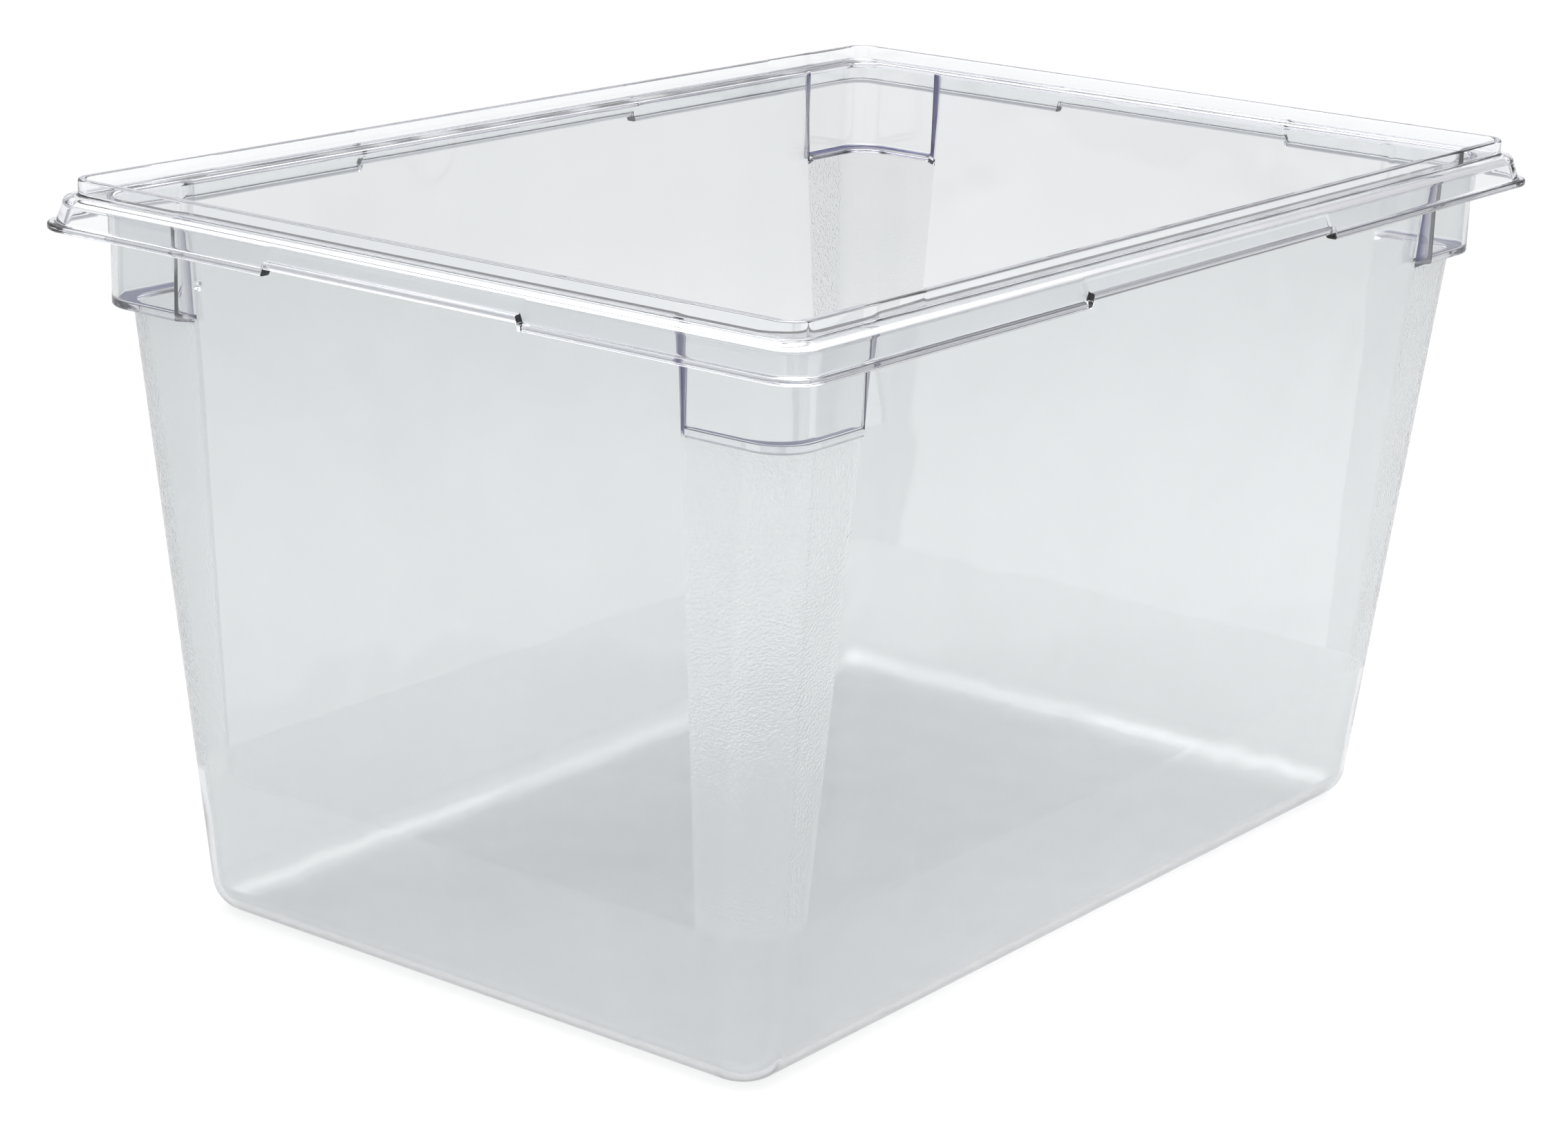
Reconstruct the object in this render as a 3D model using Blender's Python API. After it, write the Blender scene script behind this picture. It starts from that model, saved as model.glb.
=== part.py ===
"""Deep clear food pan for a deli or butcher: one injection-moulded box, open at the top.

The whole object is one moulding, so it is one closed mesh: a wall of even thickness that is
led from the underside of the floor, up the outside, over the rim and down the inside.
Every ring of that wall is a rounded rectangle. Along each ring the same stations are used,
and a few stations carry a feature: the corner lugs, the raised middle of the rim's lip and
the shallow recesses in the rim's upstand.

Metres, +Z up, X along the long side, origin under the middle of the floor.
"""
import math

import bmesh
import bpy

# Overall size, over the lip of the rim
LENGTH = 0.660
WIDTH = 0.457
HEIGHT = 0.371

# Walls and floor
WALL = 0.0032
FLOOR = 0.0035
WALL_INSET_TOP = 0.0214       # outer wall face in from the lip, extrapolated to the top
WALL_INSET_FOOT = 0.0530      # the same at the underside, which gives the draft
CORNER_RADIUS_TOP = 0.0240    # outer vertical corners
CORNER_RADIUS_FOOT = 0.0220
FOOT_RADIUS = 0.0175          # outer edge between wall and floor

# Rim, from outside to inside: lip, skirt, shoulder, shelf, upstand, ledge
SHELF_DROP = 0.0080           # shelf below the top of the upstand
LIP_RADIUS = 0.0180           # plan radius of the lip's corners
LIP_DROP = 0.0243             # underside of the lip below the top
LIP_HEIGHT = 0.0036
LIP_ROUND = 0.0012
LIP_RAISE = 0.0033            # the lip sits higher along the middle of each side
SKIRT_FOOT_INSET = 0.0034
SKIRT_TOP_INSET = 0.0060
SKIRT_WALL = 0.0028
SHOULDER_RADIUS = 0.0036
SHOULDER_START = 15.0         # degrees above level where the skirt runs into the shoulder
UPSTAND_OUTER = 0.0122
UPSTAND_INNER = 0.0164
UPSTAND_ROUND = 0.0012
UPSTAND_RADIUS = 0.0120       # plan radius of its outer face
UPSTAND_ROOT = 0.0008         # fillet where it meets the shelf and the ledge
RECESS_DEPTH = 0.0014         # shallow recess in the upstand's inner face
LEDGE_ROUND = 0.0016          # edge where the ledge turns down into the inner wall

# Corner lugs, hollow towards the inside: they stop one nested pan above the next
LUG_INSET = 0.0204
LUG_RADIUS = 0.0200
LUG_FOOT = HEIGHT - 0.0610
LUG_EDGE = 0.0018
LUG_REACH = 0.0750            # along each side, from the lip's corner
LUG_END = 0.0070              # length of the slanted end

# Half lengths along the sides
RAISED_LONG = 0.1107
RAISED_SHORT = 0.0761
RAISED_STEP = 0.0007
RECESS_NEAR = 0.0632          # from the lip's corner, long sides only
RECESS_FAR = 0.1062
RECESS_STEP = 0.0016

# Steps of the plan's corners, of the foot's arc, of the shoulder and of the small arcs
ARC_STEPS = 8
FOOT_STEPS = 4
SHOULDER_STEPS = 4
EDGE_STEPS = 3
STATION_GAP = 0.0004          # least way between two stations by the corner
LEAST_RADIUS = 0.0005         # of any corner in plan
SHARP_ANGLE = math.radians(35.0)

# Heights of the rings between foot and lug
WALL_RINGS = (0.12, 0.22)

SHELF_Z = HEIGHT - SHELF_DROP
DRAFT = (WALL_INSET_FOOT - WALL_INSET_TOP) / HEIGHT


def clear_scene():
    for thing in list(bpy.data.objects):
        bpy.data.objects.remove(thing, do_unlink=True)


def wall_inset(z):
    """Inset of the outer wall face at height z."""
    return WALL_INSET_FOOT - DRAFT * z


def wall_radius(z):
    """Plan radius of the outer vertical corner at height z."""
    return CORNER_RADIUS_FOOT + (CORNER_RADIUS_TOP - CORNER_RADIUS_FOOT) * z / HEIGHT


class Knot:
    """One point of the section: its inset, height and plan radius, plain and at a feature."""

    def __init__(self, inset, z, radius, lug=None, raised=0.0, recess=0.0):
        self.plain = (inset, z, radius)
        self.lug = lug or self.plain
        self.raised = raised
        self.recess = recess

    def at(self, station):
        plain, lug, share = self.plain, self.lug, station["lug"]
        inset, z, radius = (a + (b - a) * share for a, b in zip(plain, lug))
        inset += self.recess * station["recess"]
        z += self.raised * station["raised"]
        return inset, z, max(radius, LEAST_RADIUS)


def arc(inset, z, radius, start, end, steps):
    """Points of a section arc; 0 degrees points outwards and 90 degrees up."""
    for i in range(steps + 1):
        a = math.radians(start + (end - start) * i / steps)
        yield inset - radius * math.cos(a), z + radius * math.sin(a)


def foot_knots(offset, floor_z):
    """The rounded edge between floor and wall, from the floor to the wall."""
    radius = FOOT_RADIUS - offset
    tilt = math.degrees(math.atan(DRAFT))
    centre_z = floor_z + radius
    centre = wall_inset(centre_z) + offset + radius / math.cos(math.radians(tilt))
    for inset, z in arc(centre, centre_z, radius, -90.0, -tilt, FOOT_STEPS):
        sunk = inset - wall_inset(z)
        yield Knot(inset, z, wall_radius(z) - sunk)


def wall_knots(offset, top_z):
    """The wall above the foot, with the lug's ledge: offset 0 outside, WALL inside."""
    ledge = LUG_FOOT + offset
    face = LUG_INSET + offset
    face_radius = LUG_RADIUS - offset

    def plain(z):
        return wall_inset(z) + offset, z, wall_radius(z) - offset

    for z in WALL_RINGS:
        yield Knot(*plain(z))
    yield Knot(*plain(ledge - LUG_EDGE), lug=plain(ledge))
    for inset, z in arc(face + LUG_EDGE, ledge + LUG_EDGE, LUG_EDGE, -90.0, 0.0, EDGE_STEPS):
        yield Knot(*plain(z), lug=(inset, z, face_radius - (inset - face)))
    yield Knot(*plain(top_z), lug=(face, top_z, face_radius))


def lip_radius(inset):
    return LIP_RADIUS - inset * (LIP_RADIUS - UPSTAND_RADIUS) / UPSTAND_OUTER


def upstand_radius(inset):
    return UPSTAND_RADIUS - (inset - UPSTAND_OUTER)


def skirt_knots():
    """Under the shelf, down inside the skirt, round the lip and up to the shelf."""
    fillet = SHOULDER_RADIUS
    inner_top = SKIRT_TOP_INSET + SKIRT_WALL
    for inset, z in arc(inner_top + fillet, SHELF_Z - WALL - fillet, fillet, 90.0, 0.0, EDGE_STEPS):
        yield Knot(inset, z, lip_radius(inset))
    lip_foot = HEIGHT - LIP_DROP
    lip_low = lip_foot + LIP_ROUND
    lip_high = lip_foot + LIP_HEIGHT - LIP_ROUND
    inner_foot = SKIRT_FOOT_INSET + SKIRT_WALL
    outline = [(inner_foot, lip_low), (inner_foot - LIP_ROUND, lip_foot)]
    outline += arc(LIP_ROUND, lip_low, LIP_ROUND, -90.0, 0.0, EDGE_STEPS)
    outline += arc(LIP_ROUND, lip_high, LIP_ROUND, 0.0, 90.0, EDGE_STEPS)
    outline.append((SKIRT_FOOT_INSET, lip_foot + LIP_HEIGHT))
    for inset, z in outline:
        yield Knot(inset, z, lip_radius(inset), raised=LIP_RAISE)
    centre = SKIRT_TOP_INSET + SHOULDER_RADIUS
    low = SHELF_Z - SHOULDER_RADIUS
    for inset, z in arc(centre, low, SHOULDER_RADIUS, SHOULDER_START, 90.0, SHOULDER_STEPS):
        yield Knot(inset, z, lip_radius(inset))


def upstand_knots():
    """The upright ridge that a lid closes over, then the ledge inside it."""
    r = UPSTAND_ROUND
    outer = upstand_radius(UPSTAND_OUTER)
    inner = upstand_radius(UPSTAND_INNER)
    yield Knot(UPSTAND_OUTER - UPSTAND_ROOT, SHELF_Z, outer)
    yield Knot(UPSTAND_OUTER, SHELF_Z + UPSTAND_ROOT, outer)
    for inset, z in arc(UPSTAND_OUTER + r, HEIGHT - r, r, 0.0, 90.0, EDGE_STEPS):
        yield Knot(inset, z, upstand_radius(inset))
    for inset, z in arc(UPSTAND_INNER - r, HEIGHT - r, r, 90.0, 180.0, EDGE_STEPS):
        yield Knot(inset, z, upstand_radius(inset), recess=-RECESS_DEPTH)
    yield Knot(UPSTAND_INNER, SHELF_Z + UPSTAND_ROOT, inner, recess=-RECESS_DEPTH)
    yield Knot(UPSTAND_INNER + UPSTAND_ROOT, SHELF_Z, inner)


def ledge_edge_knots():
    """The rounded edge where the ledge turns down into the inner wall."""
    wall = wall_inset(SHELF_Z) + WALL - LEDGE_ROUND
    face = LUG_INSET + WALL - LEDGE_ROUND
    for deg in (90.0, 45.0):
        a = math.radians(deg)
        back = LEDGE_ROUND * math.cos(a)
        z = SHELF_Z - LEDGE_ROUND * (1.0 - math.sin(a))
        yield Knot(wall + back, z, wall_radius(z) - WALL + LEDGE_ROUND - back,
                   lug=(face + back, z, LUG_RADIUS - WALL + LEDGE_ROUND - back))


def section():
    """The whole section, from under the floor round to the floor's top face."""
    knots = list(foot_knots(0.0, 0.0))
    knots += wall_knots(0.0, SHELF_Z - WALL)
    knots += skirt_knots()
    knots += upstand_knots()
    knots += ledge_edge_knots()
    inner = list(foot_knots(WALL, FLOOR)) + list(wall_knots(WALL, SHELF_Z - LEDGE_ROUND))
    knots += reversed(inner)
    return knots


def side_stations(half, raised_half, with_recess):
    """Positions along half a side, from the middle to the corner, with the features there."""
    marks = [
        (raised_half - RAISED_STEP, "raised", 1.0),
        (raised_half + RAISED_STEP, "raised", 0.0),
        (half - LUG_REACH - LUG_END, "lug", 0.0),
        (half - LUG_REACH, "lug", 1.0),
    ]
    if with_recess:
        marks += [
            (half - RECESS_FAR - RECESS_STEP, "recess", 0.0),
            (half - RECESS_FAR + RECESS_STEP, "recess", 1.0),
            (half - RECESS_NEAR - RECESS_STEP, "recess", 1.0),
            (half - RECESS_NEAR + RECESS_STEP, "recess", 0.0),
        ]
    state = {"lug": 0.0, "raised": 1.0, "recess": 0.0}
    stations = []
    for along, feature, value in sorted(marks):
        state[feature] = value
        stations.append(dict(state, along=along))
    return stations


def ring_stations():
    """All stations of a ring, anticlockwise seen from above, starting at the middle of +X."""
    long_side = side_stations(LENGTH / 2, RAISED_LONG, True)
    short_side = side_stations(WIDTH / 2, RAISED_SHORT, False)
    corner = [dict(lug=1.0, raised=0.0, recess=0.0, turn=i / ARC_STEPS) for i in range(ARC_STEPS + 1)]
    ring = []
    for quarter in range(4):
        first, second = (short_side, long_side) if quarter % 2 == 0 else (long_side, short_side)
        ring += [dict(s, quarter=quarter, leg="rise") for s in first]
        ring += [dict(s, quarter=quarter, leg="corner") for s in corner]
        ring += [dict(s, quarter=quarter, leg="fall") for s in reversed(second)]
    return ring


def place(station, knot):
    """Where a station lies on the ring that a knot gives."""
    inset, z, radius = knot.at(station)
    half_x = LENGTH / 2 - inset
    half_y = WIDTH / 2 - inset
    quarter = station["quarter"]
    if quarter % 2:
        half_x, half_y = half_y, half_x
    if station["leg"] == "corner":
        a = station["turn"] * math.pi / 2
        x = half_x - radius + radius * math.cos(a)
        y = half_y - radius + radius * math.sin(a)
    elif station["leg"] == "rise":
        x, y = half_x, fit_along(station["along"], half_y - radius, quarter % 2 == 1)
    else:
        x, y = fit_along(station["along"], half_x - radius, quarter % 2 == 0), half_y
    turn = quarter * math.pi / 2
    return (x * math.cos(turn) - y * math.sin(turn), x * math.sin(turn) + y * math.cos(turn), z)


def fit_along(along, straight_half, on_long_side):
    """Draws the stations by the corner together on the small rings near the floor."""
    half, last = (LENGTH / 2, RECESS_NEAR - RECESS_STEP) if on_long_side else (WIDTH / 2, LUG_REACH)
    start = half - LUG_REACH - LUG_END
    reach = half - last
    limit = min(straight_half - STATION_GAP, reach)
    if along <= start:
        return along
    return start + (along - start) * (limit - start) / (reach - start)


def pan_mesh():
    bm = bmesh.new()
    stations = ring_stations()
    rings = []
    for knot in section():
        rings.append([bm.verts.new(place(station, knot)) for station in stations])
    count = len(stations)
    for lower, upper in zip(rings, rings[1:]):
        for i in range(count):
            j = (i + 1) % count
            bm.faces.new((lower[i], lower[j], upper[j], upper[i]))
    bm.faces.new(list(reversed(rings[0])))
    bm.faces.new(rings[-1])
    bmesh.ops.recalc_face_normals(bm, faces=bm.faces)
    mesh = bpy.data.meshes.new("pan_body")
    bm.to_mesh(mesh)
    bm.free()
    mesh.shade_smooth()
    mesh.set_sharp_from_angle(angle=SHARP_ANGLE)
    return mesh


def clear_polycarbonate():
    material = bpy.data.materials.new("clear_polycarbonate")
    material.use_nodes = True
    shader = material.node_tree.nodes["Principled BSDF"]
    shader.inputs["Base Color"].default_value = (0.86, 0.88, 0.89, 1.0)
    shader.inputs["Roughness"].default_value = 0.15
    shader.inputs["Metallic"].default_value = 0.0
    shader.inputs["IOR"].default_value = 1.58
    shader.inputs["Alpha"].default_value = 0.4
    return material


def build_pan():
    pan = bpy.data.objects.new("pan_body", pan_mesh())
    pan.data.materials.append(clear_polycarbonate())
    bpy.context.scene.collection.objects.link(pan)
    return pan


clear_scene()
build_pan()
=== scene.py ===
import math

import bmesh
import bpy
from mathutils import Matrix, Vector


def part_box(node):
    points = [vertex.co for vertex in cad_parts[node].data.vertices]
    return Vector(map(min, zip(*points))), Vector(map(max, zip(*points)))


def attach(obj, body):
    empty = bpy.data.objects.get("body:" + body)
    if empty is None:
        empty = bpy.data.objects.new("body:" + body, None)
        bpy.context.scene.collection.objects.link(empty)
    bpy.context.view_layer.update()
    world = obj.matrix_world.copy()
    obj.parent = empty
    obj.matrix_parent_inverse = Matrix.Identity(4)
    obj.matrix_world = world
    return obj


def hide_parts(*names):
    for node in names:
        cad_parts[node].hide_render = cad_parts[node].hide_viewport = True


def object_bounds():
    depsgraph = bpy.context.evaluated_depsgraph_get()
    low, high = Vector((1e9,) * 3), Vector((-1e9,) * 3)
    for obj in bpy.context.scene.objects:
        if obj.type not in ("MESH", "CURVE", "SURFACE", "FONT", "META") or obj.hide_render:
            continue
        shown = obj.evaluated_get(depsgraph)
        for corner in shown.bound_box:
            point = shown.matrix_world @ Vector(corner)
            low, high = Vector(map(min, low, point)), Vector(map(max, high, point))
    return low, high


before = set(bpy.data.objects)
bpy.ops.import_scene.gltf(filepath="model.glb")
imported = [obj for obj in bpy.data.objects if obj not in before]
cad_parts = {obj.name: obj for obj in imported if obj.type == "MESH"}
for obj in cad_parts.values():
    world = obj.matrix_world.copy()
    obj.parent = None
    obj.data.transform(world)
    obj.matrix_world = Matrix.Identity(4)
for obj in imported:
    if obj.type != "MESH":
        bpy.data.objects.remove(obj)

# Looks of the deep clear food pan: one clear moulding on a white table in soft light.
#
# The moulding is built here again, finer than in the CAD and inside the same box. It is one
# closed wall, led from the underside of the floor, up the outside, over the rim and down the
# inside. Metres, +Z up, X along the long side.

cad_low, cad_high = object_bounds()
node_low, node_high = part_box("pan_body")

# Overall size, from the frame
LENGTH = node_high.x - node_low.x
WIDTH = node_high.y - node_low.y
HEIGHT = node_high.z - node_low.z

# Walls and floor
WALL = 0.0032
FLOOR = 0.0035
WALL_INSET_TOP = 0.0214       # outer wall face in from the lip, extrapolated to the top
WALL_INSET_FOOT = 0.0530      # the same at the underside, which gives the draft
CORNER_RADIUS_TOP = 0.0240    # outer vertical corners
CORNER_RADIUS_FOOT = 0.0220
FOOT_RADIUS = 0.0175          # outer edge between wall and floor
WALL_SHARES = (0.25, 0.5, 0.75)  # heights of the rings below the lug, as shares of its foot's

# Rim, from outside to inside: lip, skirt, shoulder, shelf, upstand, ledge
SHELF_DROP = 0.0080           # shelf below the top of the upstand
LIP_RADIUS = 0.0180           # plan radius of the lip's corners
LIP_DROP = 0.0243             # underside of the lip below the top
LIP_HEIGHT = 0.0036
LIP_ROUND = 0.0012
LIP_RAISE = 0.0033            # the lip sits higher along the middle of each side
SKIRT_FOOT_INSET = 0.0034
SKIRT_TOP_INSET = 0.0060
SKIRT_WALL = 0.0028
LIP_FILLET = ((0.0006, 0.0001), (0.0, 0.0008))  # outwards of and above the skirt's foot
SHOULDER_RADIUS = 0.0036
SHOULDER_START = 10.0         # degrees above level where the skirt runs into the shoulder
UPSTAND_OUTER = 0.0122
UPSTAND_INNER = 0.0164
UPSTAND_ROUND = 0.0012
UPSTAND_ROOT = 0.0008         # fillets where it meets the shelf and the ledge
UPSTAND_RADIUS = 0.0120       # plan radius of its outer face
RECESS_DEPTH = 0.0014         # shallow recess in the upstand's inner face
LEDGE_ROUND = 0.0016          # edge where the ledge turns down into the inner wall
LEDGE_ANGLES = (90.0, 67.5, 45.0, 22.5)

# Corner lugs, hollow towards the inside
LUG_INSET = 0.0204
LUG_RADIUS = 0.0200
LUG_FOOT = HEIGHT - 0.0610
LUG_EDGE = 0.0018
LUG_LEAD = 0.0020             # last plain ring below the lug's foot
LUG_REACH = 0.0750            # along each side, from the lip's corner
LUG_END = 0.0070              # length of the slanted end
POCKET_REACH = 0.0762         # reach of the hollow behind the lug
POCKET_ROUND = 0.0015
LUG_END_SHARES = (0.0, 0.75, 0.88, 0.95, 0.985, 1.0)  # how far out along the slanted end
SLANT_TOP = 0.9               # share above which the end has rounded over into the face
POCKET_FLOOR = 0.6            # share of the edge's height that counts as the hollow's floor

# Features along the sides
RAISED_LONG = 0.1107          # half lengths of the lip's raised middle
RAISED_SHORT = 0.0761
RAISED_STEP = 0.0007
RECESS_NEAR = 0.0632          # from the lip's corner, long sides only
RECESS_FAR = 0.1062
RECESS_STEP = 0.0016

# Steps of the plan's corners, of the foot, of the shoulder, and of large and small edges
ARC_STEPS = 28
FOOT_STEPS = 14
SHOULDER_STEPS = 8
EDGE_STEPS = 6
ROOT_STEPS = 3
STATION_GAP = 0.0004          # least way between two stations by the corner
LEAST_RADIUS = 0.0005         # of any corner in plan
SHARP_ANGLE = math.radians(32.0)

SHELF_Z = HEIGHT - SHELF_DROP
DRAFT = (WALL_INSET_FOOT - WALL_INSET_TOP) / HEIGHT

# How grained each surface is
POLISHED = 0.0                # rim
SMOOTH = 0.2                  # walls and lugs, faintly wavy
FROSTED = 0.6                 # underside and the rounded foot, outside and in
GRAINED = 1.0                 # strips round the corners, below the lugs

# The plastic; where there are two values they go from polished to grained
INDEX = 1.58
HAZE = (1.0, 0.82)            # how much light passes
# Painted shade: at the lugs' slanted ends and the hollows' floors, where light runs along inside
# the plastic, faces get a dark violet colour and pass less light, the more so edge-on to the eye
EDGE_SHADE_CLEAR = 0.25             # the same where light runs along inside the plastic
EDGE_SHADE_FACING = (0.05, 0.40)    # from facing the eye to edge-on, where that begins and is full
EDGE_SHADE_TONE = (0.07, 0.07, 0.17, 1.0)
# Painted shade: the darker tone of upright faces seen edge-on, and the greyer tone of all faces
# but the rim's
SLANT_FACING = (0.18, 0.50)   # the same for upright faces, which grow darker edge-on
SLANT_SHADE_TONE = (0.86, 0.87, 0.87, 1.0)
WALL_SHADE_TONE = (0.86, 0.87, 0.87, 1.0)
ROUGHNESS = (0.015, 0.13)
ROUGHNESS_SHARE = (0.8, 1.2)  # least and most of that, in patches
TONE_LOW = (0.965, 0.975, 0.975, 1.0)
TONE_HIGH = (0.995, 1.0, 1.0, 1.0)
DEPTH_TONE = (0.30, 0.28, 0.55, 1.0)
DEPTH_DENSITY = 9.0

# Patterns on it, per metre, and for the raised ones their height and strength
TONE_SCALE = 14.0
PATCH_SCALE = 60.0
NOISE_SPAN = (0.3, 0.7)       # the part of a noise's range that is used
WAVE_SCALE = 28.0
WAVE_LEAST = 0.1              # share of the waves that is left on polished faces
WAVE_HEIGHT = 0.010
WAVE = 0.08
PEBBLE_SCALE = 800.0
PEBBLE_HEIGHT = 0.0006
PEBBLE = 0.5

# The table, and its glow: a painted pool of light round a centre, from its middle to its edge,
# and the painted shadow of the pan, where the glow is dimmer under it
TABLE_RADIUS = 14.0
TABLE_GAP = 0.0003            # between table and pan
TABLE_TONE = (0.15, 0.15, 0.15, 1.0)
CLOUD_SCALE = 1.5
CLOUD_SHARE = (0.98, 1.02)    # least and most of the glow, in wide clouds
POOL_CENTRE = (0.42, -0.30, 0.0)
POOL_REACH = (0.5, 1.6)
POOL_GLOW = (0.88, 0.66)
PAN_SHADOW_GLOW = 0.70
PAN_SHADOW_REACH = (0.3, 1.1)

# The dome: colours, and for each light its direction, its reach as a cosine and its brightness
DOME_HORIZON = (0.45, 0.45, 0.48, 1.0)
DOME_MIDDLE = (0.72, 0.72, 0.74, 1.0)
DOME_MIDDLE_AT = 0.30         # its height, from the horizon at 0 to overhead at 1
DOME_TOP = (0.80, 0.80, 0.80, 1.0)
OVERHEAD = ((0.05, 0.10, 1.0), 0.50, 5.0)
FRONT = ((-0.75, -0.60, 0.85), 0.85, 0.8)

# The camera, and its angles: heading from +X, dip below level, roll about its axis
CAMERA_PLACE = (-1.5215, -1.1120, 0.7114)
CAMERA_HEADING = math.radians(36.71)
CAMERA_DIP = math.radians(16.41)
CAMERA_ROLL = math.radians(1.99)
CAMERA_LENS = 86.57           # mm, on a 36 mm sensor
CAMERA_SENSOR = 36.0


def wall_inset(z):
    """Inset of the outer wall face at height z."""
    return WALL_INSET_FOOT - DRAFT * z


def wall_radius(z):
    """Plan radius of the outer vertical corner at height z."""
    return CORNER_RADIUS_FOOT + (CORNER_RADIUS_TOP - CORNER_RADIUS_FOOT) * z / HEIGHT


class Knot:
    """One point of the section: its inset, height and plan radius, plain and at a feature.

    The part is foot, wall, ledge, lug or rim, and the skin says how grained it is there.
    """

    def __init__(self, inset, z, radius, lug=None, raised=0.0, recess=0.0, skin=POLISHED,
                 inside=False, part="rim"):
        self.plain = (inset, z, radius)
        self.lug = lug or self.plain
        self.raised = raised
        self.recess = recess
        self.skin = skin
        self.inside = inside
        self.part = part

    def at(self, station):
        """Its inset, height and plan radius at a station."""
        share = station["lug"]
        inset, z, radius = (a + (b - a) * share for a, b in zip(self.plain, self.lug))
        inset += self.recess * station["recess"]
        z += self.raised * station["raised"]
        return inset, z, max(radius, LEAST_RADIUS)


def arc(inset, z, radius, start, end, steps):
    """Points of a section arc; 0 degrees points outwards and 90 degrees up."""
    for i in range(steps + 1):
        a = math.radians(start + (end - start) * i / steps)
        yield inset - radius * math.cos(a), z + radius * math.sin(a)


def foot_knots(offset, floor_z, skin):
    """The rounded edge between floor and wall, from the floor to the wall."""
    radius = FOOT_RADIUS - offset
    tilt = math.degrees(math.atan(DRAFT))
    centre_z = floor_z + radius
    centre = wall_inset(centre_z) + offset + radius / math.cos(math.radians(tilt))
    for inset, z in arc(centre, centre_z, radius, -90.0, -tilt, FOOT_STEPS):
        sunk = inset - wall_inset(z)
        yield Knot(inset, z, wall_radius(z) - sunk, skin=skin, part="foot")


def wall_knots(offset, top_z, skin):
    """The wall above the foot, with the lug's ledge: offset 0 outside, WALL inside."""
    ledge = LUG_FOOT + offset
    face = LUG_INSET + offset
    face_radius = LUG_RADIUS - offset
    inside = offset > 0.0

    def plain(z):
        return wall_inset(z) + offset, z, wall_radius(z) - offset

    for share in WALL_SHARES:
        yield Knot(*plain(ledge * share), skin=skin, inside=inside, part="wall")
    yield Knot(*plain(ledge - LUG_LEAD), lug=plain(ledge), skin=skin, inside=inside,
               part="ledge")
    for inset, z in arc(face + LUG_EDGE, ledge + LUG_EDGE, LUG_EDGE, -90.0, 0.0, EDGE_STEPS):
        yield Knot(*plain(z), lug=(inset, z, face_radius - (inset - face)), skin=skin,
                   inside=inside, part="lug")
    yield Knot(*plain(top_z), lug=(face, top_z, face_radius), skin=skin, inside=inside,
               part="lug")


def lip_radius(inset):
    return LIP_RADIUS - inset * (LIP_RADIUS - UPSTAND_RADIUS) / UPSTAND_OUTER


def upstand_radius(inset):
    return UPSTAND_RADIUS - (inset - UPSTAND_OUTER)


def skirt_knots():
    """Under the shelf, down inside the skirt, round the lip and up to the shelf."""
    fillet = SHOULDER_RADIUS
    inner_top = SKIRT_TOP_INSET + SKIRT_WALL
    under = SHELF_Z - WALL
    for inset, z in arc(inner_top + fillet, under - fillet, fillet, 90.0, 0.0, EDGE_STEPS):
        yield Knot(inset, z, lip_radius(inset))
    lip_foot = HEIGHT - LIP_DROP
    lip_top = lip_foot + LIP_HEIGHT
    inner_foot = SKIRT_FOOT_INSET + SKIRT_WALL
    low = lip_foot + LIP_ROUND
    rows = list(arc(inner_foot - LIP_ROUND, low, LIP_ROUND, 180.0, 270.0, ROOT_STEPS))
    rows += arc(LIP_ROUND, low, LIP_ROUND, -90.0, 0.0, EDGE_STEPS)
    rows += arc(LIP_ROUND, lip_top - LIP_ROUND, LIP_ROUND, 0.0, 90.0, EDGE_STEPS)
    rows += [(SKIRT_FOOT_INSET - out, lip_top + up) for out, up in LIP_FILLET]
    for inset, z in rows:
        yield Knot(inset, z, lip_radius(inset), raised=LIP_RAISE)
    centre = SKIRT_TOP_INSET + SHOULDER_RADIUS
    low = SHELF_Z - SHOULDER_RADIUS
    for inset, z in arc(centre, low, SHOULDER_RADIUS, SHOULDER_START, 90.0, SHOULDER_STEPS):
        yield Knot(inset, z, lip_radius(inset))


def upstand_knots():
    """The upright ridge that a lid closes over, then the ledge inside it."""
    r = UPSTAND_ROUND
    root = UPSTAND_ROOT
    for inset, z in arc(UPSTAND_OUTER - root, SHELF_Z + root, root, 270.0, 180.0, ROOT_STEPS):
        yield Knot(inset, z, upstand_radius(UPSTAND_OUTER))
    for inset, z in arc(UPSTAND_OUTER + r, HEIGHT - r, r, 0.0, 90.0, EDGE_STEPS):
        yield Knot(inset, z, upstand_radius(inset))
    for inset, z in arc(UPSTAND_INNER - r, HEIGHT - r, r, 90.0, 180.0, EDGE_STEPS):
        yield Knot(inset, z, upstand_radius(inset), recess=-RECESS_DEPTH)
    for inset, z in arc(UPSTAND_INNER + root, SHELF_Z + root, root, 0.0, -90.0, ROOT_STEPS):
        recess = -RECESS_DEPTH * (z > SHELF_Z)
        yield Knot(inset, z, upstand_radius(UPSTAND_INNER), recess=recess)


def ledge_edge_knots():
    """The rounded edge where the ledge turns down into the inner wall."""
    wall = wall_inset(SHELF_Z) + WALL
    face = LUG_INSET + WALL
    for deg in LEDGE_ANGLES:
        a = math.radians(deg)
        sunk = LEDGE_ROUND * math.cos(a)
        z = SHELF_Z - LEDGE_ROUND * (1.0 - math.sin(a))
        yield Knot(wall - LEDGE_ROUND + sunk, z, wall_radius(z) - WALL + LEDGE_ROUND - sunk,
                   lug=(face - LEDGE_ROUND + sunk, z, LUG_RADIUS - WALL + LEDGE_ROUND - sunk),
                   inside=True)


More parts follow.
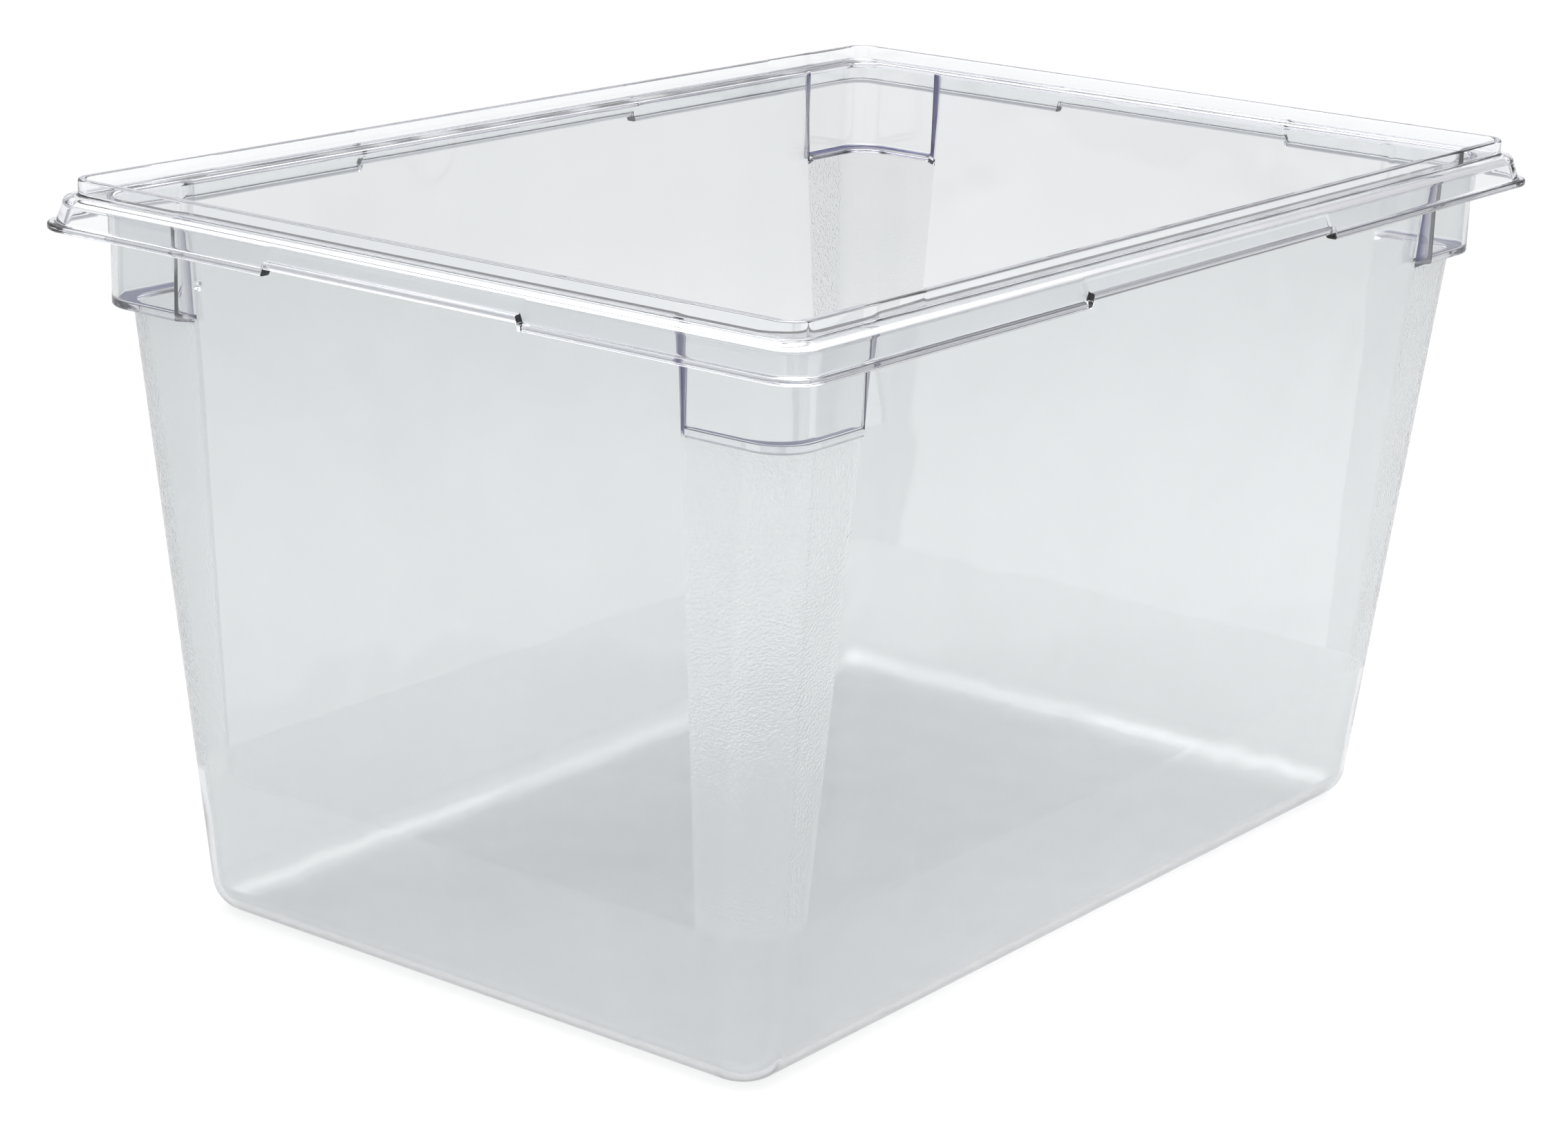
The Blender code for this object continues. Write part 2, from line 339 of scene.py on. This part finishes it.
def section():
    """The whole section, from under the floor round to the floor's top face."""
    knots = list(foot_knots(0.0, 0.0, FROSTED))
    knots += wall_knots(0.0, SHELF_Z - WALL, GRAINED)
    knots += skirt_knots()
    knots += upstand_knots()
    knots += ledge_edge_knots()
    inner = list(foot_knots(WALL, FLOOR, FROSTED))
    inner += wall_knots(WALL, SHELF_Z - LEDGE_ROUND, SMOOTH)
    knots += reversed(inner)
    return knots


def side_stations(half, raised_half, with_recess):
    """Positions along half a side, from the middle to the corner, with the features there."""
    marks = [
        (raised_half - RAISED_STEP, "raised", 1.0),
        (raised_half + RAISED_STEP, "raised", 0.0),
    ]
    for share in LUG_END_SHARES:
        marks.append((half - LUG_REACH - LUG_END * (1.0 - share), "lug", share))
    if with_recess:
        marks += [
            (half - RECESS_FAR - RECESS_STEP, "recess", 0.0),
            (half - RECESS_FAR + RECESS_STEP, "recess", 1.0),
            (half - RECESS_NEAR - RECESS_STEP, "recess", 1.0),
            (half - RECESS_NEAR + RECESS_STEP, "recess", 0.0),
        ]
    state = {"lug": 0.0, "raised": 1.0, "recess": 0.0, "strip": False}
    stations = []
    for along, feature, value in sorted(marks):
        state[feature] = value
        state["strip"] = state["strip"] or feature == "lug"
        stations.append(dict(state, along=along, shift=pocket_shift(feature, value)))
    return stations


def pocket_shift(feature, share):
    """How much nearer the corner the hollow's slanted end lies than the lug's, edge rounded."""
    if feature != "lug":
        return 0.0
    bend = max(0.0, (share - LUG_END_SHARES[1]) / (1.0 - LUG_END_SHARES[1]))
    return (LUG_REACH - POCKET_REACH) * share + POCKET_ROUND * (1.0 - math.sqrt(1.0 - bend ** 2))


def ring_stations():
    """All stations of a ring, anticlockwise seen from above, starting at the middle of +X."""
    long_side = side_stations(LENGTH / 2, RAISED_LONG, True)
    short_side = side_stations(WIDTH / 2, RAISED_SHORT, False)
    turn = dict(lug=1.0, raised=0.0, recess=0.0, shift=0.0, strip=True)
    corner = [dict(turn, turn=i / ARC_STEPS) for i in range(ARC_STEPS + 1)]
    ring = []
    for quarter in range(4):
        first, second = (short_side, long_side) if quarter % 2 == 0 else (long_side, short_side)
        ring += [dict(s, quarter=quarter, leg="rise") for s in first]
        ring += [dict(s, quarter=quarter, leg="corner") for s in corner]
        ring += [dict(s, quarter=quarter, leg="fall") for s in reversed(second)]
    return ring


def fit_along(along, straight_half, on_long_side):
    """Draws the stations by the corner together on the small rings near the floor."""
    if on_long_side:
        half, last = LENGTH / 2, RECESS_NEAR - RECESS_STEP
    else:
        half, last = WIDTH / 2, LUG_REACH - POCKET_ROUND
    strip = half - LUG_REACH - LUG_END
    reach = half - last
    limit = min(straight_half - STATION_GAP, reach)
    if along <= strip:
        return along
    return strip + (along - strip) * (limit - strip) / (reach - strip)


def place(station, knot):
    """Where a station lies on the ring that a knot gives."""
    inset, z, radius = knot.at(station)
    half_x = LENGTH / 2 - inset
    half_y = WIDTH / 2 - inset
    quarter = station["quarter"]
    if quarter % 2:
        half_x, half_y = half_y, half_x
    along = station.get("along", 0.0) + station["shift"] * knot.inside
    if station["leg"] == "corner":
        a = station["turn"] * math.pi / 2
        x = half_x - radius + radius * math.cos(a)
        y = half_y - radius + radius * math.sin(a)
    elif station["leg"] == "rise":
        x, y = half_x, fit_along(along, half_y - radius, quarter % 2 == 1)
    else:
        x, y = fit_along(along, half_x - radius, quarter % 2 == 0), half_y
    turn = quarter * math.pi / 2
    return (x * math.cos(turn) - y * math.sin(turn), x * math.sin(turn) + y * math.cos(turn), z)


def grain_of(knot, next_knot, station, next_station):
    """How grained a face is: only the strips round the corners, outside and below the lugs."""
    lug_here = max(station["lug"], next_station["lug"]) > 0.0
    on_lug = lug_here and "lug" in (knot.part, next_knot.part)
    strip = station["strip"] and next_station["strip"]
    if on_lug or (knot.part in ("wall", "ledge", "lug") and not strip):
        return SMOOTH
    return min(knot.skin, next_knot.skin)


def edge_shade_of(knot, next_knot, station, next_station):
    """Whether a face gets painted shade, dark violet, standing in for light that runs along
    inside the plastic behind it.
    """
    low, high = sorted((station["lug"], next_station["lug"]))
    parts = {knot.part, next_knot.part}
    slanted = parts == {"lug"} and low < high and low < SLANT_TOP
    height = max(knot.lug[1], next_knot.lug[1])
    level = "lug" in parts and height < LUG_FOOT + WALL + POCKET_FLOOR * LUG_EDGE
    pocket_floor = level and next_knot.inside and low > SLANT_TOP
    return 1.0 if slanted or pocket_floor else 0.0


def pan_mesh():
    """The closed moulding, each face with how grained it is and whether it gets the painted edge
    shade.
    """
    bm = bmesh.new()
    # edge: 1 on faces that get the painted edge shade
    edge = bm.faces.layers.float.new("edge")
    grain = bm.faces.layers.float.new("grain")
    stations = ring_stations()
    knots = section()
    rings = [[bm.verts.new(place(station, knot)) for station in stations] for knot in knots]
    count = len(stations)
    for k, (lower, upper) in enumerate(zip(rings, rings[1:])):
        for i in range(count):
            j = (i + 1) % count
            face = bm.faces.new((lower[i], lower[j], upper[j], upper[i]))
            face[grain] = grain_of(knots[k], knots[k + 1], stations[i], stations[j])
            face[edge] = edge_shade_of(knots[k], knots[k + 1], stations[i], stations[j])
    underside = bm.faces.new(list(reversed(rings[0])))
    underside[grain] = FROSTED
    floor = bm.faces.new(rings[-1])
    floor[grain] = SMOOTH
    bmesh.ops.recalc_face_normals(bm, faces=bm.faces)
    mesh = bpy.data.meshes.new("pan_moulding")
    bm.to_mesh(mesh)
    bm.free()
    mesh.shade_smooth()
    mesh.set_sharp_from_angle(angle=SHARP_ANGLE)
    return mesh


def new_material(name):
    material = bpy.data.materials.new(name)
    material.use_nodes = True
    tree = material.node_tree
    return material, tree, tree.nodes["Principled BSDF"]


def noise(tree, scale, detail):
    """A noise pattern in the object's own metres; the scale is patterns per metre."""
    coords = tree.nodes.new("ShaderNodeTexCoord")
    pattern = tree.nodes.new("ShaderNodeTexNoise")
    pattern.inputs["Scale"].default_value = scale
    pattern.inputs["Detail"].default_value = detail
    tree.links.new(coords.outputs["Object"], pattern.inputs["Vector"])
    return pattern.outputs["Fac"]


def maths(tree, operation, first, second=0.0):
    """An operation on one or two values, each a number or a socket."""
    node = tree.nodes.new("ShaderNodeMath")
    node.operation = operation
    for socket, value in zip(node.inputs, (first, second)):
        if isinstance(value, (int, float)):
            socket.default_value = value
        else:
            tree.links.new(value, socket)
    return node.outputs["Value"]


def remap(tree, value, low, high, start=0.0, end=1.0):
    """Leads a value that runs from start to end over to low to high, and no further."""
    node = tree.nodes.new("ShaderNodeMapRange")
    node.inputs["From Min"].default_value = start
    node.inputs["From Max"].default_value = end
    node.inputs["To Min"].default_value = low
    node.inputs["To Max"].default_value = high
    tree.links.new(value, node.inputs["Value"])
    return node.outputs["Result"]


def mix(tree, factor, first, second, blend="MIX"):
    """Blends two colours, each a value or a socket."""
    node = tree.nodes.new("ShaderNodeMix")
    node.data_type = "RGBA"
    node.blend_type = blend
    tree.links.new(factor, node.inputs["Factor"])
    for socket, value in ((node.inputs["A"], first), (node.inputs["B"], second)):
        if isinstance(value, tuple):
            socket.default_value = value
        else:
            tree.links.new(value, socket)
    return node.outputs["Result"]


def bump(tree, height, distance, strength, normal=None):
    """Raises a surface by a height pattern, on top of what another bump gives."""
    node = tree.nodes.new("ShaderNodeBump")
    node.inputs["Strength"].default_value = strength
    node.inputs["Distance"].default_value = distance
    tree.links.new(height, node.inputs["Height"])
    if normal is not None:
        tree.links.new(normal, node.inputs["Normal"])
    return node.outputs["Normal"]


def uprightness(tree):
    """1 on an upright face and 0 on a level one."""
    normal = tree.nodes.new("ShaderNodeNewGeometry").outputs["Normal"]
    split = tree.nodes.new("ShaderNodeSeparateXYZ")
    tree.links.new(normal, split.inputs["Vector"])
    return maths(tree, "SUBTRACT", 1.0, maths(tree, "ABSOLUTE", split.outputs["Z"]))


def plastic_tone_and_painted_shade(tree, grain, facing, painted_edge_shade):
    """Nearly white in patches, with painted shade: greyer on all but the rim, darker still on
    slanting upright faces the more edge-on they are seen, and dark violet on the edge faces.
    """
    patches = remap(tree, noise(tree, TONE_SCALE, 3.0), 0.0, 1.0, *NOISE_SPAN)
    tone = mix(tree, patches, TONE_LOW, TONE_HIGH)
    grained = remap(tree, grain, 0.0, 1.0, 0.0, SMOOTH)
    # Painted shade: upright faces off the rim grow darker the more edge-on they are seen
    slant = remap(tree, facing, 0.0, 1.0, *SLANT_FACING)
    slanting = maths(tree, "MULTIPLY", slant, uprightness(tree))
    tone = mix(tree, maths(tree, "MULTIPLY", slanting, grained), tone, SLANT_SHADE_TONE)
    # Painted shade: all faces but the rim's get a greyer tone
    tone = mix(tree, remap(tree, grain, 0.0, 1.0, POLISHED, SMOOTH), tone, WALL_SHADE_TONE, "MULTIPLY")
    # Painted shade: dark violet on the edge faces, where light runs along inside the plastic
    return mix(tree, painted_edge_shade, tone, EDGE_SHADE_TONE)


def plastic_surface(tree, grain):
    """Faint waves on the smooth walls, and pebbles on the grained strips."""
    wavy = maths(tree, "MULTIPLY", remap(tree, grain, WAVE_LEAST, 1.0, POLISHED, SMOOTH),
                 remap(tree, grain, 1.0, 0.0, SMOOTH, FROSTED))
    waves = maths(tree, "MULTIPLY", noise(tree, WAVE_SCALE, 0.0), wavy)
    wavy_normal = bump(tree, waves, WAVE_HEIGHT, WAVE)
    pebbles = maths(tree, "MULTIPLY", noise(tree, PEBBLE_SCALE, 1.0),
                    remap(tree, grain, 0.0, 1.0, FROSTED, GRAINED))
    return bump(tree, pebbles, PEBBLE_HEIGHT, PEBBLE, wavy_normal)


def polycarbonate():
    """Clear plastic with a violet tone in its depth, painted dark violet shade on its edge faces,
    and grain round the corners.
    """
    material, tree, shader = new_material("clear_polycarbonate")
    link = tree.links.new
    grain = attribute(tree, "grain")
    weight = tree.nodes.new("ShaderNodeLayerWeight")
    weight.inputs["Blend"].default_value = 0.5
    facing = weight.outputs["Facing"]
    # Painted shade on the edge faces, stronger as they turn edge-on to the eye; there they also
    # pass less light
    painted_edge_shade = maths(tree, "MULTIPLY", attribute(tree, "edge"),
                    remap(tree, facing, 0.0, 1.0, *EDGE_SHADE_FACING))
    shader.inputs["IOR"].default_value = INDEX
    link(plastic_tone_and_painted_shade(tree, grain, facing, painted_edge_shade), shader.inputs["Base Color"])
    clear = maths(tree, "MULTIPLY", remap(tree, grain, *HAZE),
                  remap(tree, painted_edge_shade, 1.0, EDGE_SHADE_CLEAR))
    link(clear, shader.inputs["Transmission Weight"])
    patchy = remap(tree, noise(tree, PATCH_SCALE, 3.0), *ROUGHNESS_SHARE, *NOISE_SPAN)
    rough = maths(tree, "MULTIPLY", remap(tree, grain, *ROUGHNESS), patchy)
    link(rough, shader.inputs["Roughness"])
    link(plastic_surface(tree, grain), shader.inputs["Normal"])
    inside = tree.nodes.new("ShaderNodeVolumeAbsorption")
    inside.inputs["Color"].default_value = DEPTH_TONE
    inside.inputs["Density"].default_value = DEPTH_DENSITY
    link(inside.outputs["Volume"], tree.nodes["Material Output"].inputs["Volume"])
    return material


def build_pan():
    """The pan, in place of its CAD node."""
    pan = bpy.data.objects.new("pan_moulding", pan_mesh())
    pan.data.materials.append(polycarbonate())
    bpy.context.scene.collection.objects.link(pan)
    even = pan.modifiers.new("even_shading", "WEIGHTED_NORMAL")
    even.weight = 100
    even.keep_sharp = True
    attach(pan, "root")
    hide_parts("pan_body")
    return pan


def attribute(tree, name):
    """A value that each face of the mesh carries."""
    node = tree.nodes.new("ShaderNodeAttribute")
    node.attribute_name = name
    return node.outputs["Fac"]


def distance(tree, coords, centre):
    """How far a point lies from a centre."""
    node = tree.nodes.new("ShaderNodeVectorMath")
    node.operation = "DISTANCE"
    node.inputs[1].default_value = centre
    tree.links.new(coords, node.inputs[0])
    return node.outputs["Value"]


def painted_pan_shadow(tree, coords):
    """Painted shadow of the pan: the share of the glow left under it, least in its middle, all of
    it past its foot.
    """
    split = tree.nodes.new("ShaderNodeSeparateXYZ")
    tree.links.new(coords, split.inputs["Vector"])
    foot = []
    for axis, half in (("X", LENGTH / 2 - WALL_INSET_FOOT), ("Y", WIDTH / 2 - WALL_INSET_FOOT)):
        foot.append(maths(tree, "DIVIDE", maths(tree, "ABSOLUTE", split.outputs[axis]), half))
    return remap(tree, maths(tree, "MAXIMUM", *foot), PAN_SHADOW_GLOW, 1.0, *PAN_SHADOW_REACH)


def white_table():
    """A white table that glows, more in a painted pool of light and less in the painted shadow
    under the pan.
    """
    bm = bmesh.new()
    bmesh.ops.create_circle(bm, cap_ends=True, segments=96, radius=TABLE_RADIUS)
    mesh = bpy.data.meshes.new("white_table")
    bm.to_mesh(mesh)
    bm.free()
    table = bpy.data.objects.new("white_table", mesh)
    table.location.z = cad_low.z - TABLE_GAP
    bpy.context.scene.collection.objects.link(table)
    material, tree, shader = new_material("white_table")
    shader.inputs["Base Color"].default_value = TABLE_TONE
    shader.inputs["Roughness"].default_value = 0.8
    shader.inputs["Specular IOR Level"].default_value = 0.0
    shader.inputs["Emission Color"].default_value = (1.0, 1.0, 1.0, 1.0)
    coords = tree.nodes.new("ShaderNodeTexCoord").outputs["Object"]
    pool = remap(tree, distance(tree, coords, POOL_CENTRE), *POOL_GLOW, *POOL_REACH)
    cloud = remap(tree, noise(tree, CLOUD_SCALE, 2.0), *CLOUD_SHARE, *NOISE_SPAN)
    # Painted light and shade: the glow is brighter in a pool and dimmer in the pan's shadow
    glow = maths(tree, "MULTIPLY", maths(tree, "MULTIPLY", pool, painted_pan_shadow(tree, coords)), cloud)
    tree.links.new(glow, shader.inputs["Emission Strength"])
    mesh.materials.append(material)


def soft_patch(tree, direction, towards, reach, brightness):
    """A round soft light in the dome: brightest towards a direction, gone at the given cosine."""
    facing = tree.nodes.new("ShaderNodeVectorMath")
    facing.operation = "DOT_PRODUCT"
    facing.inputs[1].default_value = Vector(towards).normalized()
    tree.links.new(direction, facing.inputs[0])
    glow = tree.nodes.new("ShaderNodeMapRange")
    glow.interpolation_type = "SMOOTHSTEP"
    glow.inputs["From Min"].default_value = reach
    glow.inputs["From Max"].default_value = 1.0
    glow.inputs["To Max"].default_value = brightness
    tree.links.new(facing.outputs["Value"], glow.inputs["Value"])
    return glow.outputs["Result"]


def studio_world():
    """A grey dome, darker towards the horizon, with one soft light overhead and one in front."""
    world = bpy.data.worlds.new("studio")
    bpy.context.scene.world = world
    world.use_nodes = True
    tree = world.node_tree
    background = tree.nodes["Background"]
    direction = tree.nodes.new("ShaderNodeTexCoord").outputs["Generated"]
    split = tree.nodes.new("ShaderNodeSeparateXYZ")
    tree.links.new(direction, split.inputs["Vector"])
    ramp = tree.nodes.new("ShaderNodeValToRGB")
    tree.links.new(split.outputs["Z"], ramp.inputs["Fac"])
    tree.links.new(ramp.outputs["Color"], background.inputs["Color"])
    steps = ramp.color_ramp.elements
    steps[0].color = DOME_HORIZON
    steps[1].color = DOME_TOP
    steps.new(DOME_MIDDLE_AT).color = DOME_MIDDLE
    lights = maths(tree, "ADD", soft_patch(tree, direction, *OVERHEAD),
                   soft_patch(tree, direction, *FRONT))
    tree.links.new(maths(tree, "ADD", lights, 1.0), background.inputs["Strength"])


def make_camera():
    """Looks down at the pan's near corner from a little way off."""
    ahead = Vector((math.cos(CAMERA_HEADING) * math.cos(CAMERA_DIP),
                    math.sin(CAMERA_HEADING) * math.cos(CAMERA_DIP),
                    -math.sin(CAMERA_DIP)))
    right = ahead.cross(Vector((0.0, 0.0, 1.0))).normalized()
    right.rotate(Matrix.Rotation(-CAMERA_ROLL, 3, ahead))
    up = right.cross(ahead)
    data = bpy.data.cameras.new("camera")
    data.lens = CAMERA_LENS
    data.sensor_width = CAMERA_SENSOR
    camera = bpy.data.objects.new("camera", data)
    camera.rotation_mode = "QUATERNION"
    camera.rotation_quaternion = Matrix((right, up, -ahead)).transposed().to_quaternion()
    camera.location = CAMERA_PLACE
    bpy.context.scene.collection.objects.link(camera)
    bpy.context.scene.camera = camera


build_pan()
white_table()
studio_world()
make_camera()
bpy.context.scene.view_settings.view_transform = "Standard"
